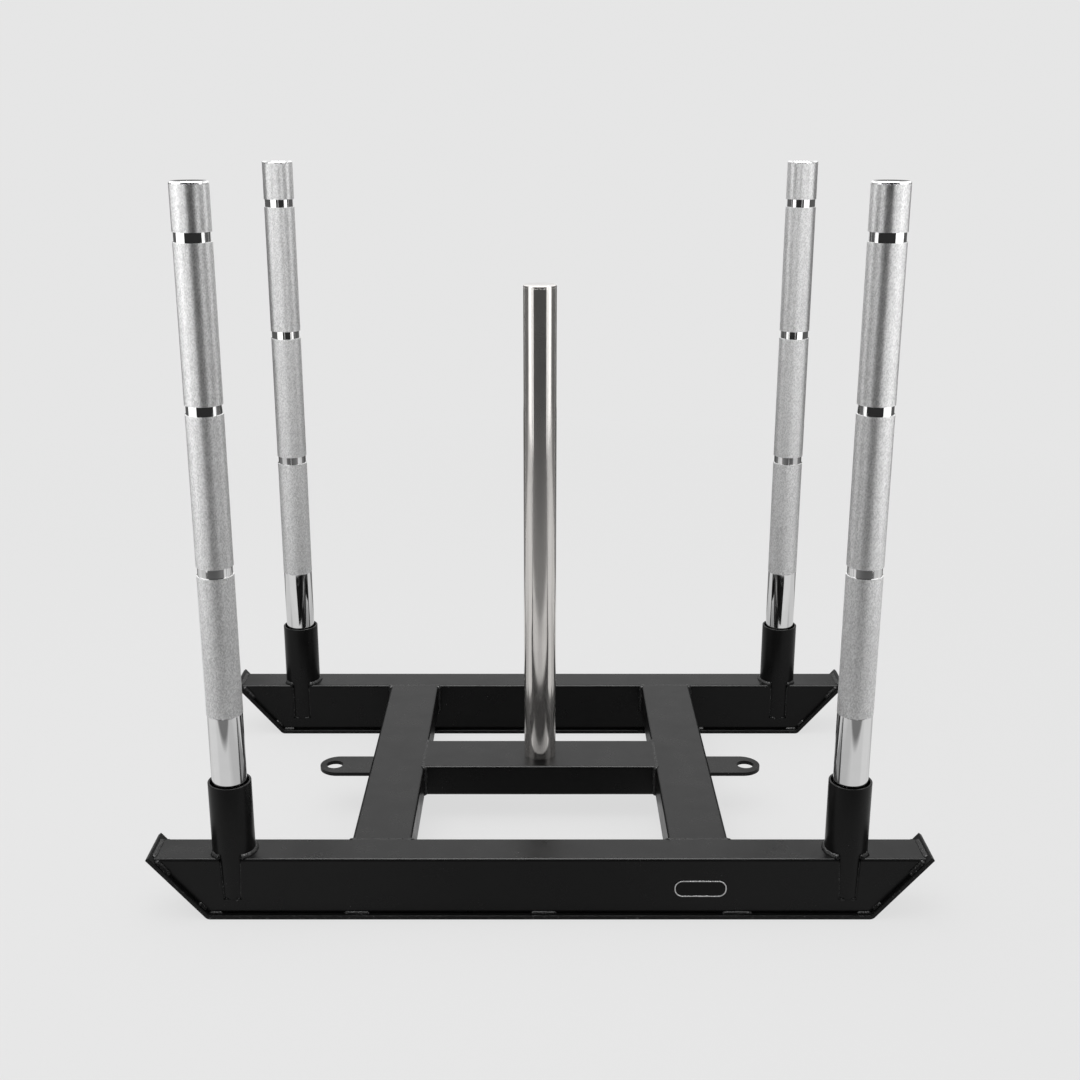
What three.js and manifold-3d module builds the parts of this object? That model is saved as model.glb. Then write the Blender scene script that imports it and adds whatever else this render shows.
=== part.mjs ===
// Push sled: two runners, a welded frame, a weight post and four lift-out push poles.
// Millimetres, +Z up, +X the way it is pushed, +Y the left side, origin on the floor under the middle.
import * as THREE from 'three';
import { mergeVertices } from 'three/addons/utils/BufferGeometryUtils.js';
import Module from 'manifold-3d';

// Rails: rectangular tubes on edge, cut to a slope at both ends
const railSpacing = 625;
const railWidth = 60;
const railHeight = 85;
const railWall = 3;
const railCorner = 4.5;
const railTopHalfLength = 538.5;
const rampAngleDegrees = 49;

// Shoes: flat bars under the rails, bent up over the sloped ends
const shoeLip = 7.5;
const shoeThickness = 6;
const shoeOverrun = 7;

// Crossmembers between the rails, and the crosspiece between the crossmembers
const crossWidth = 85;
const crossHeight = 50;
const crossOffset = 226;
const centreWidth = 100;
const centreHeight = 50;
const crossWall = 3;
const crossCorner = 4.5;

// Tow lugs on the outer sides of the crossmembers
const lugWidth = 60;
const lugReach = 87;
const lugThickness = 6;
const lugDrop = 20;
const lugHoleDiameter = 27;
const lugHoleInset = 23;

// Sockets: round tubes let into the rails from above, each a set way in from the end of the rail's top
const socketInset = 107.2;
const socketDiameter = 60;
const socketWall = 3;
const socketRise = 106;
const socketDepth = 63.5;
const socketChamfer = 0.8;

// Push poles: round tubes with knurled bands between smooth rings
const poleLength = 997.5;
const poleDiameter = 48.5;
const poleWall = 3;
const knurlRise = 0.5;
const knurlChamfer = 0.8;
const knurlLength = 708.6;
const ringCount = 3;
const ringWidth = 12;
const ringPitch = 217.2;
const firstRingDrop = 67.8;
const poleFootChamfer = 1.5;

// Weight post and what holds it down
const postDiameter = 50;
const postWall = 3;
const postHeight = 751.7;
const plugHeight = 25;
const boltDiameter = 16;
const boltEngagement = 22;
const boltHeadAcrossFlats = 24;
const boltHeadHeight = 10;
const boltHoleClearance = 0.5;
const washerDiameter = 34;
const washerThickness = 3;

// Caps that close the tops of the post and the poles
const capThickness = 4;
const capEdge = 1.8;
const capSpigot = 8;

// Blank plate on the outer face of the right rail, the radius of its corners a share of its height
const plateLength = 73;
const plateHeight = 25;
const plateThickness = 1.2;
const plateCornerShare = 0.46;
const plateOffset = 224.7;
const plateDrop = 46;

// Gap left round a piece that is let into or cut to another, and how far a cutting shape runs past
const fitGap = 0.3;
const cutOverrun = 10;

// Facets round a circle, in half a circle, and along each round corner
const circleSteps = 32;
const halfCircleSteps = circleSteps / 2;
const cornerSteps = 2;
const plateCornerSteps = 4;
const capEdgeSteps = 3;
const hexagonSides = 6;

// Least radius of a tube's inner corner, as a share of its outer corner's
const leastBoreCornerShare = 1 / 3;

// Heights and places that follow from the sizes above
const railTop = shoeThickness + railHeight;
const railY = railSpacing / 2;
const railFloor = shoeThickness + railWall;
const socketOffset = railTopHalfLength - socketInset;
const socketBottom = railTop - socketDepth;
const rampAngle = THREE.MathUtils.degToRad(rampAngleDegrees);
const quarterTurn = Math.PI / 2;

const wasm = await Module();
wasm.setup();

// Axes that turn an outline drawn in x and y, and drawn out along z, to run along the sled or across it
const alongX = new THREE.Matrix4().makeBasis(
  new THREE.Vector3(0, 1, 0),
  new THREE.Vector3(0, 0, 1),
  new THREE.Vector3(1, 0, 0),
);
const alongY = new THREE.Matrix4().makeBasis(
  new THREE.Vector3(1, 0, 0),
  new THREE.Vector3(0, 0, 1),
  new THREE.Vector3(0, -1, 0),
);

// Finishes
function finish(color, roughness, metalness) {
  return new THREE.MeshStandardMaterial({ color, roughness, metalness });
}
const powderCoat = finish(0x1d1d1e, 0.5, 0.1);
const wornSteel = finish(0x2a2a2b, 0.55, 0.3);
const knurledChrome = finish(0xb9b9b7, 0.35, 1);
const polishedSteel = finish(0xa9a7a2, 0.2, 1);
const zincSteel = finish(0x8f9296, 0.45, 0.9);
const plateSteel = finish(0x3c3d3f, 0.4, 0.8);

// A closed mesh made into a solid that can be joined and cut
function solidOf(geometry) {
  const bare = geometry.clone();
  bare.deleteAttribute('normal');
  bare.deleteAttribute('uv');
  const merged = mergeVertices(bare);
  return new wasm.Manifold(new wasm.Mesh({
    numProp: 3,
    vertProperties: merged.attributes.position.array,
    triVerts: Uint32Array.from(merged.index.array),
  }));
}

function geometryOf(solid) {
  const { vertProperties, triVerts } = solid.getMesh();
  const geometry = new THREE.BufferGeometry();
  geometry.setAttribute('position', new THREE.BufferAttribute(vertProperties, 3));
  geometry.setIndex(new THREE.BufferAttribute(triVerts, 1));
  geometry.computeVertexNormals();
  return geometry;
}

function cut(geometry, ...cutters) {
  let solid = solidOf(geometry);
  for (const cutter of cutters) solid = solid.subtract(solidOf(cutter));
  return geometryOf(solid);
}

// A rectangle with round corners about the origin, counterclockwise
function roundedRectangle(width, height, radius, outline = new THREE.Shape()) {
  const x = width / 2 - radius;
  const y = height / 2 - radius;
  outline.absarc(x, y, radius, 0, quarterTurn);
  outline.absarc(-x, y, radius, quarterTurn, 2 * quarterTurn);
  outline.absarc(-x, -y, radius, 2 * quarterTurn, 3 * quarterTurn);
  outline.absarc(x, -y, radius, 3 * quarterTurn, 4 * quarterTurn);
  outline.closePath();
  return outline;
}

// An outline drawn out along its own z, centred on its length
function drawnOut(outline, length, curveSegments = cornerSteps) {
  const geometry = new THREE.ExtrudeGeometry(outline, {
    depth: length,
    bevelEnabled: false,
    curveSegments,
  });
  return geometry.translate(0, 0, -length / 2);
}

// Rectangular tube with round corners outside and in
function rectangularTube(width, height, corner, wall, length) {
  const section = roundedRectangle(width, height, corner);
  const boreCorner = Math.max(corner - wall, leastBoreCornerShare * corner);
  const bore = roundedRectangle(width - 2 * wall, height - 2 * wall, boreCorner, new THREE.Path());
  section.holes.push(bore);
  return drawnOut(section, length);
}

// A profile of [radius, height] pairs turned round the Z axis
function turned(profile) {
  const points = profile.map(([radius, height]) => new THREE.Vector2(radius, height));
  return new THREE.LatheGeometry(points, circleSteps).rotateX(quarterTurn);
}

function rod(radius, low, high) {
  return turned([[0, low], [radius, low], [radius, high], [0, high]]);
}

function block(sizeX, sizeY, low, high) {
  return new THREE.BoxGeometry(sizeX, sizeY, high - low).translate(0, 0, (high + low) / 2);
}

const sled = new THREE.Group();

function addPiece(parent, name, geometry, material, position = [0, 0, 0], turnAboutZ = 0) {
  const mesh = new THREE.Mesh(geometry, material);
  mesh.name = name;
  mesh.position.set(...position);
  mesh.rotation.z = turnAboutZ;
  parent.add(mesh);
}

// How far from the middle the inner face of a shoe's ramp lies at a height
function rampHalfLength(height) {
  return railTopHalfLength - (railTop - height) / Math.tan(rampAngle);
}

// Side outline of a rail, its ends a gap short of the ramps, past its top and bottom
function railSideOutline() {
  const endGap = fitGap / Math.sin(rampAngle);
  const low = shoeThickness - cutOverrun;
  const high = railTop + cutOverrun;
  const lowHalf = rampHalfLength(low) - endGap;
  const highHalf = rampHalfLength(high) - endGap;
  const outline = new THREE.Shape();
  outline.moveTo(-lowHalf, low);
  outline.lineTo(lowHalf, low);
  outline.lineTo(highHalf, high);
  outline.lineTo(-highHalf, high);
  outline.closePath();
  return outline;
}

// Room for a socket in a rail: a round hole from above, and slots where it reaches into the side walls
function socketCutters(x) {
  const reach = socketDiameter / 2 + fitGap;
  const low = socketBottom - fitGap;
  const high = railTop + cutOverrun;
  const cutters = [rod(reach, low, high)];
  const wallInside = railWidth / 2 - railWall;
  if (reach > wallInside) {
    const slotHalf = Math.sqrt(reach ** 2 - wallInside ** 2);
    cutters.push(block(2 * slotHalf, railWidth + 2 * cutOverrun, low, high));
  }
  return cutters.map((cutter) => cutter.translate(x, 0, 0));
}

function railGeometry() {
  const fullLength = 2 * (rampHalfLength(railTop) + cutOverrun);
  const tube = rectangularTube(railWidth, railHeight, railCorner, railWall, fullLength)
    .applyMatrix4(alongX)
    .translate(0, 0, shoeThickness + railHeight / 2);
  const side = drawnOut(railSideOutline(), railWidth + 2 * cutOverrun).applyMatrix4(alongY);
  const sloped = geometryOf(solidOf(tube).intersect(solidOf(side)));
  return cut(sloped, ...socketCutters(-socketOffset), ...socketCutters(socketOffset));
}

// Side outline of a shoe: flat under the rail, with a ramp at each end that rises past the rail's top
function shoeSideOutline() {
  const bend = rampHalfLength(shoeThickness);
  const endRun = shoeOverrun * Math.cos(rampAngle);
  const endRise = shoeOverrun * Math.sin(rampAngle);
  const innerEnd = [railTopHalfLength + endRun, railTop + endRise];
  const outerEnd = [
    innerEnd[0] + shoeThickness * Math.sin(rampAngle),
    innerEnd[1] - shoeThickness * Math.cos(rampAngle),
  ];
  const outline = new THREE.Shape();
  outline.moveTo(outerEnd[0], outerEnd[1]);
  outline.lineTo(innerEnd[0], innerEnd[1]);
  outline.lineTo(bend, shoeThickness);
  outline.lineTo(-bend, shoeThickness);
  outline.lineTo(-innerEnd[0], innerEnd[1]);
  outline.lineTo(-outerEnd[0], outerEnd[1]);
  outline.absarc(-bend, shoeThickness, shoeThickness, 3 * quarterTurn - rampAngle, 3 * quarterTurn);
  outline.absarc(bend, shoeThickness, shoeThickness, -quarterTurn, rampAngle - quarterTurn);
  outline.closePath();
  return outline;
}

function shoeGeometry() {
  return drawnOut(shoeSideOutline(), railWidth + 2 * shoeLip).applyMatrix4(alongY);
}

function addRunners() {
  for (const [side, sign] of [['left', 1], ['right', -1]]) {
    addPiece(sled, `${side}_rail`, railGeometry(), powderCoat, [0, sign * railY, 0]);
    addPiece(sled, `${side}_shoe`, shoeGeometry(), wornSteel, [0, sign * railY, 0]);
  }
}

function addCrossmembers() {
  const length = railSpacing - railWidth;
  for (const [end, sign] of [['front', 1], ['rear', -1]]) {
    const tube = rectangularTube(crossWidth, crossHeight, crossCorner, crossWall, length)
      .applyMatrix4(alongY);
    const position = [sign * crossOffset, 0, railTop - crossHeight / 2];
    addPiece(sled, `${end}_crossmember`, tube, powderCoat, position);
  }
}

// Crosspiece under the weight post, with a hole through both walls for the bolt
function addCrosspiece() {
  const length = 2 * crossOffset - crossWidth;
  const tube = rectangularTube(centreWidth, centreHeight, crossCorner, crossWall, length)
    .applyMatrix4(alongX);
  const reach = centreHeight / 2 + cutOverrun;
  const boltHole = rod(boltDiameter / 2 + boltHoleClearance, -reach, reach);
  addPiece(sled, 'centre_crosspiece', cut(tube, boltHole), powderCoat, [0, 0, railTop - centreHeight / 2]);
}

// Tow lug: a flat bar with a half-round end and a hole, standing out along +X from its root
function lugGeometry() {
  const half = lugWidth / 2;
  const outline = new THREE.Shape();
  outline.moveTo(0, -half);
  outline.lineTo(lugReach - half, -half);
  outline.absarc(lugReach - half, 0, half, -quarterTurn, quarterTurn);
  outline.lineTo(0, half);
  outline.closePath();
  const hole = new THREE.Path();
  hole.absarc(lugReach - lugHoleInset, 0, lugHoleDiameter / 2, 0, 4 * quarterTurn);
  outline.holes.push(hole);
  return drawnOut(outline, lugThickness, halfCircleSteps);
}

function addTowLugs() {
  const root = crossOffset + crossWidth / 2;
  const height = railTop - lugDrop - lugThickness / 2;
  addPiece(sled, 'front_tow_lug', lugGeometry(), powderCoat, [root, 0, height]);
  addPiece(sled, 'rear_tow_lug', lugGeometry(), powderCoat, [-root, 0, height], 2 * quarterTurn);
}

function socketGeometry() {
  const outer = socketDiameter / 2;
  const inner = outer - socketWall;
  const high = railTop + socketRise;
  return turned([
    [inner, socketBottom],
    [outer, socketBottom],
    [outer, high - socketChamfer],
    [outer - socketChamfer, high],
    [inner, high],
    [inner, socketBottom],
  ]);
}

// Outer profile of a pole from its foot up: the plain tube, then knurled bands with rings between them
function poleSideProfile(top) {
  const plain = poleDiameter / 2;
  const raised = plain + knurlRise;
  const poleTop = railFloor + fitGap + poleLength;
  const side = [[plain, poleTop - knurlLength], [raised, poleTop - knurlLength + knurlChamfer]];
  for (let ring = ringCount - 1; ring >= 0; ring -= 1) {
    const middle = poleTop - firstRingDrop - ring * ringPitch;
    const low = middle - ringWidth / 2;
    const high = middle + ringWidth / 2;
    side.push([raised, low - knurlChamfer], [plain, low], [plain, high], [raised, high + knurlChamfer]);
  }
  side.push([raised, top]);
  return side;
}

function poleGeometry(foot, top) {
  const plain = poleDiameter / 2;
  const bore = plain - poleWall;
  return turned([
    [bore, foot],
    [plain - poleFootChamfer, foot],
    [plain, foot + poleFootChamfer],
    ...poleSideProfile(top),
    [bore, top],
    [bore, foot],
  ]);
}

// Cap with a rounded edge on a tube's top, and a spigot down its bore
function capGeometry(radius, bore) {
  const spigot = bore - fitGap;
  const profile = [[0, -capSpigot], [spigot, -capSpigot], [spigot, 0], [radius, 0]];
  for (let step = 0; step <= capEdgeSteps; step += 1) {
    const angle = (step / capEdgeSteps) * quarterTurn;
    profile.push([
      radius - capEdge * (1 - Math.cos(angle)),
      capThickness - capEdge * (1 - Math.sin(angle)),
    ]);
  }
  profile.push([0, capThickness]);
  return turned(profile);
}

function addSocketsAndPoles() {
  const foot = railFloor + fitGap;
  const tubeTop = foot + poleLength - capThickness;
  for (const [end, signX] of [['front', 1], ['rear', -1]]) {
    for (const [side, signY] of [['left', 1], ['right', -1]]) {
      const station = new THREE.Group();
      station.position.set(signX * socketOffset, signY * railY, 0);
      sled.add(station);
      const place = `${end}_${side}`;
      const cap = capGeometry(poleDiameter / 2 + knurlRise, poleDiameter / 2 - poleWall);
      addPiece(station, `${place}_socket`, socketGeometry(), powderCoat);
      addPiece(station, `${place}_pole`, poleGeometry(foot, tubeTop), knurledChrome);
      addPiece(station, `${place}_pole_cap`, cap, knurledChrome, [0, 0, tubeTop]);
    }
  }
}

// Weight post on the crosspiece, with a threaded plug in its foot for the bolt from below
function addWeightPost() {
  const outer = postDiameter / 2;
  const bore = outer - postWall;
  const tubeTop = railTop + postHeight - capThickness;
  const tube = turned([
    [bore, railTop],
    [outer, railTop],
    [outer, tubeTop],
    [bore, tubeTop],
    [bore, railTop],
  ]);
  addPiece(sled, 'weight_post', tube, polishedSteel);
  addPiece(sled, 'weight_post_cap', capGeometry(outer, bore), polishedSteel, [0, 0, tubeTop]);

  const boltHole = boltDiameter / 2 + fitGap;
  const plugRadius = bore - fitGap;
  const plugTop = railTop + plugHeight;
  const plug = turned([
    [boltHole, railTop],
    [plugRadius, railTop],
    [plugRadius, plugTop],
    [boltHole, plugTop],
    [boltHole, railTop],
  ]);
  addPiece(sled, 'weight_post_plug', plug, zincSteel);
}

function addPostBolt() {
  const underside = railTop - centreHeight;
  const headTop = underside - washerThickness;
  const shank = rod(boltDiameter / 2, headTop - boltHeadHeight / 2, railTop + boltEngagement);
  const headRadius = boltHeadAcrossFlats / 2 / Math.cos(Math.PI / hexagonSides);
  const head = new THREE.CylinderGeometry(headRadius, headRadius, boltHeadHeight, hexagonSides)
    .rotateX(quarterTurn)
    .translate(0, 0, headTop - boltHeadHeight / 2);
  addPiece(sled, 'weight_post_bolt', geometryOf(solidOf(head).add(solidOf(shank))), zincSteel);

  const hole = boltDiameter / 2 + boltHoleClearance;
  const rim = washerDiameter / 2;
  const washer = turned([
    [hole, headTop],
    [rim, headTop],
    [rim, underside],
    [hole, underside],
    [hole, headTop],
  ]);
  addPiece(sled, 'weight_post_washer', washer, zincSteel);
}

function addBlankPlate() {
  const outerFace = railY + railWidth / 2;
  const outline = roundedRectangle(plateLength, plateHeight, plateCornerShare * plateHeight);
  const plate = drawnOut(outline, plateThickness, plateCornerSteps).applyMatrix4(alongY);
  const position = [plateOffset, -outerFace - plateThickness / 2, railTop - plateDrop];
  addPiece(sled, 'blank_plate', plate, plateSteel, position);
}

addRunners();
addCrossmembers();
addCrosspiece();
addTowLugs();
addSocketsAndPoles();
addWeightPost();
addPostBolt();
addBlankPlate();

export default sled;
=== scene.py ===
"""Push sled: the looks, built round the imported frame. Metres, +Z up, +X the way it is pushed."""
import math
from collections import namedtuple
from functools import partial

import bmesh
import bpy
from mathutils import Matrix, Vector, noise
from mathutils.geometry import tessellate_polygon


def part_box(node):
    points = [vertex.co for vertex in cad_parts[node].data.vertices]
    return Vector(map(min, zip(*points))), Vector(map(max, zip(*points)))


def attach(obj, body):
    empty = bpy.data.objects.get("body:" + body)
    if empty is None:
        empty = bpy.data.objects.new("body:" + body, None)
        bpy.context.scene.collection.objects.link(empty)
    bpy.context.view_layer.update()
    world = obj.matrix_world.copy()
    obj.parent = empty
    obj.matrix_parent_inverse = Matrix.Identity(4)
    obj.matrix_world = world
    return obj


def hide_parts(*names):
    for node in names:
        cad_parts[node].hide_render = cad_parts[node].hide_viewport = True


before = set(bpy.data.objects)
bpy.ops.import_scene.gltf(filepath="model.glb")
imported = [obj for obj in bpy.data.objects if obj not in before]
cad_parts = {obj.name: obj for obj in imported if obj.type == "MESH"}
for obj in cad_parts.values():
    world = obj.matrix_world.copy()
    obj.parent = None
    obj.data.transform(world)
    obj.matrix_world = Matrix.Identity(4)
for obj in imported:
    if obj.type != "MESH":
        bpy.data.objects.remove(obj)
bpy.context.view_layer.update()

SIDES = {"left": 1, "right": -1}
ENDS = {"front": 1, "rear": -1}
FACES = {"far": 1, "near": -1}
ALONG_X = 0
ALONG_Y = 1
UP = Vector((0, 0, 1))
MILLIMETRE = 0.001

# Rectangular tubes
RAMP_ANGLE = math.radians(49)
TUBE_WALL = 3 * MILLIMETRE
TUBE_CORNER = 4.5 * MILLIMETRE
BORE_CORNER = 1.5 * MILLIMETRE
CORNER_STEPS = 8

# Shoes
SHOE_BEND_RADIUS = 10 * MILLIMETRE
SHOE_EDGE = 0.9 * MILLIMETRE
BEND_STEPS = 14

# Tow lugs, and the hole for the bolt in the crosspiece
LUG_HOLE_RADIUS = 13.5 * MILLIMETRE
LUG_HOLE_INSET = 23 * MILLIMETRE
LUG_EDGE = 0.7 * MILLIMETRE
BOLT_HOLE_RADIUS = 8.5 * MILLIMETRE

# Sockets
SOCKET_WALL = 3 * MILLIMETRE
SOCKET_EDGE = 0.8 * MILLIMETRE
SOCKET_RIM_STEPS = 4
SOCKET_LIP_STEPS = 3
SOCKET_CLEARANCE = 0.3 * MILLIMETRE
SLOT_TOP_HALF = 15.5 * MILLIMETRE
OUTER_SLOT_FOOT_HALF = 12.6 * MILLIMETRE
INNER_SLOT_FOOT_HALF = 15.2 * MILLIMETRE

# Poles, from the top down
KNURL_RISE = 0.5 * MILLIMETRE
KNURL_CHAMFER = 0.8 * MILLIMETRE
KNURL_LENGTH = 708.6 * MILLIMETRE
RING_COUNT = 3
RING_WIDTH = 12 * MILLIMETRE
RING_DEPTH = 1.5 * MILLIMETRE
RING_SHOULDER = 0.3 * MILLIMETRE
RING_PITCH = 217.2 * MILLIMETRE
FIRST_RING_DROP = 67.8 * MILLIMETRE
KNURL_STARTS = 84
KNURL_LEAN = math.radians(30)
KNURL_SLOPE = math.tan(math.radians(14))
KNURL_BLUNT_SHARE = 0.4
FOOT_CHAMFER = 1.5 * MILLIMETRE
POLE_WALL = 3 * MILLIMETRE

# Caps
CAP_THICKNESS = 4 * MILLIMETRE
POLE_CAP_EDGE = 2.8 * MILLIMETRE
POLE_CAP_DOME = 0.3 * MILLIMETRE
POST_CAP_EDGE = 0.8 * MILLIMETRE
POST_CAP_DOME = 0.4 * MILLIMETRE
CAP_SEAM = 0.15 * MILLIMETRE
CAP_EDGE_STEPS = 6
CAP_DOME_STEPS = 8

# Blank plate
PLATE_CORNER_SHARE = 0.46
PLATE_EDGE = 0.3 * MILLIMETRE
PLATE_RIM = 1.3 * MILLIMETRE
PLATE_SINK = 0.4 * MILLIMETRE

# Round pieces, softened edges, and the angle above which an edge stays sharp
ROUND_STEPS = 128
EDGE_SEGMENTS = 3
SHARP_ANGLE = math.radians(24)
WELD_SHARP_ANGLE = math.radians(70)
MERGE_DISTANCE = MILLIMETRE / 1000

# Most of a noise lies between these
NOISE_LOW = 0.3
NOISE_HIGH = 0.7

# Powder coat: how far its roughness swings, and its grain's depth against its orange peel's
COAT_SWING = 0.05
COAT_GRAIN_SHARE = 0.3

# How much rougher each band of the knurl is than the one above it
KNURL_WEAR = 0.05


def add_object(name, data):
    made = bpy.data.objects.new(name, data)
    bpy.context.scene.collection.objects.link(made)
    return made


class Shape:
    """Points and faces of one piece, gathered before the piece is made."""

    def __init__(self):
        self.points = []
        self.faces = []
        self.finishes = []

    def ring(self, points):
        """Adds points and gives their numbers."""
        first = len(self.points)
        self.points.extend(points)
        return list(range(first, len(self.points)))

    def face(self, corners, finish=0):
        self.faces.append(tuple(corners))
        self.finishes.append(finish)

    def bridge(self, low, high, finish=0):
        """Joins two closed rings of as many points."""
        count = len(low)
        for i in range(count):
            j = (i + 1) % count
            self.face((low[i], low[j], high[j], high[i]), finish)

    def fan(self, ring, tip, finish=0):
        """Closes a ring on one point."""
        centre = self.ring([tip])[0]
        for i in range(len(ring)):
            self.face((ring[i], ring[(i + 1) % len(ring)], centre), finish)

    def piece(self, name, finishes, origin=(0, 0, 0), sharp_angle=SHARP_ANGLE):
        """The object, its faces turned outward, smooth but for its sharp edges."""
        mesh = bpy.data.meshes.new(name)
        mesh.from_pydata([tuple(point) for point in self.points], [], self.faces)
        mesh.polygons.foreach_set("material_index", self.finishes)
        for finish in finishes:
            mesh.materials.append(finish)
        piece = add_object(name, mesh)
        piece.location = origin
        face_outward(mesh)
        smooth(mesh, sharp_angle)
        return piece


def face_outward(mesh):
    work = bmesh.new()
    work.from_mesh(mesh)
    bmesh.ops.remove_doubles(work, verts=work.verts, dist=MERGE_DISTANCE)
    bmesh.ops.recalc_face_normals(work, faces=work.faces)
    work.to_mesh(mesh)
    work.free()


def smooth(mesh, sharp_angle=SHARP_ANGLE):
    mesh.shade_smooth()
    mesh.set_sharp_from_angle(angle=sharp_angle)


def fasten(piece, *nodes, body="frame", slot="frame_coat"):
    """Makes a piece ride on its body and stand for its CAD nodes. The slot argument is not used."""
    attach(piece, body)
    if nodes:
        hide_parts(*nodes)


def soften_edges(piece, width):
    bevel = piece.modifiers.new("edges", "BEVEL")
    bevel.width = width
    bevel.segments = EDGE_SEGMENTS
    bevel.limit_method = "ANGLE"
    bevel.angle_limit = SHARP_ANGLE
    weigh_normals(piece)


def weigh_normals(piece):
    piece.modifiers.new("flat faces", "WEIGHTED_NORMAL").keep_sharp = True


def middle(low, high):
    return (low + high) / 2


def round_box(node):
    """The corners, middle and radius of a round upright piece."""
    low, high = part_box(node)
    return low, high, middle(low, high), (high.x - low.x) / 2


def arc(centre, radius, start, turn, steps):
    """Points (x, y) on an arc, both ends included."""
    found = []
    for step in range(steps + 1):
        angle = start + turn * step / steps
        found.append((centre[0] + radius * math.cos(angle), centre[1] + radius * math.sin(angle)))
    return found


def circle(radius, centre=(0, 0), steps=ROUND_STEPS):
    return arc(centre, radius, 0, math.tau, steps)[:-1]


def rounded_outline(width, height, radius, steps=CORNER_STEPS):
    """A rectangle with round corners about the origin, counterclockwise."""
    quarter = math.pi / 2
    x = width / 2 - radius
    y = height / 2 - radius
    points = []
    for number, centre in enumerate(((x, y), (-x, y), (-x, -y), (x, -y))):
        points += arc(centre, radius, number * quarter, quarter, steps)
    return points


def panel(corners):
    shape = Shape()
    shape.face(shape.ring(corners))
    return shape


def drawn_shape(first, last):
    """A closed shape between two outlines of as many points."""
    shape = Shape()
    rings = [shape.ring(outline) for outline in (first, last)]
    shape.bridge(*rings)
    for ring in rings:
        shape.face(ring)
    return shape


def tube_shape(width, height, near, far):
    """Rectangular tube between two ends, which near and far work out from an outline's point."""
    shape = Shape()
    rings = []
    outer = rounded_outline(width, height, TUBE_CORNER)
    bore = rounded_outline(width - 2 * TUBE_WALL, height - 2 * TUBE_WALL, BORE_CORNER)
    for outline, ends in ((outer, (near, far)), (bore, (far, near))):
        for end in ends:
            rings.append(shape.ring([end(u, v) for u, v in outline]))
    for first, second in zip(rings, rings[1:] + rings[:1]):
        shape.bridge(first, second)
    return shape


def turned_shape(profile, closed=True, finishes=None):
    """(radius, height) pairs turned round Z. A profile that isn't closed starts and ends on the axis."""
    shape = Shape()
    rings = []
    for radius, height in profile:
        if radius > 0:
            rings.append(shape.ring([(x, y, height) for x, y in circle(radius)]))
        else:
            rings.append((0, 0, height))
    pairs = list(zip(rings, rings[1:]))
    if closed:
        pairs.append((rings[-1], rings[0]))
    for number, (first, second) in enumerate(pairs):
        finish = finishes[number] if finishes else 0
        if isinstance(first, tuple):
            shape.fan(second, first, finish)
        elif isinstance(second, tuple):
            shape.fan(first, second, finish)
        else:
            shape.bridge(first, second, finish)
    return shape


def rod_shape(radius, bottom, top):
    return turned_shape([(0, bottom), (radius, bottom), (radius, top), (0, top)], closed=False)


def cut(piece, *cutters):
    """Cuts shapes out of a piece and keeps the result as its mesh."""
    for number, cutter in enumerate(cutters):
        tool = cutter.piece(f"cutter_{number}", [])
        boolean = piece.modifiers.new("cut", "BOOLEAN")
        boolean.operation = "DIFFERENCE"
        boolean.solver = "EXACT"
        boolean.object = tool
        evaluated = piece.evaluated_get(bpy.context.evaluated_depsgraph_get())
        mesh = bpy.data.meshes.new_from_object(evaluated)
        piece.modifiers.clear()
        piece.data = mesh
        bpy.data.objects.remove(tool)
    smooth(piece.data)


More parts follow.
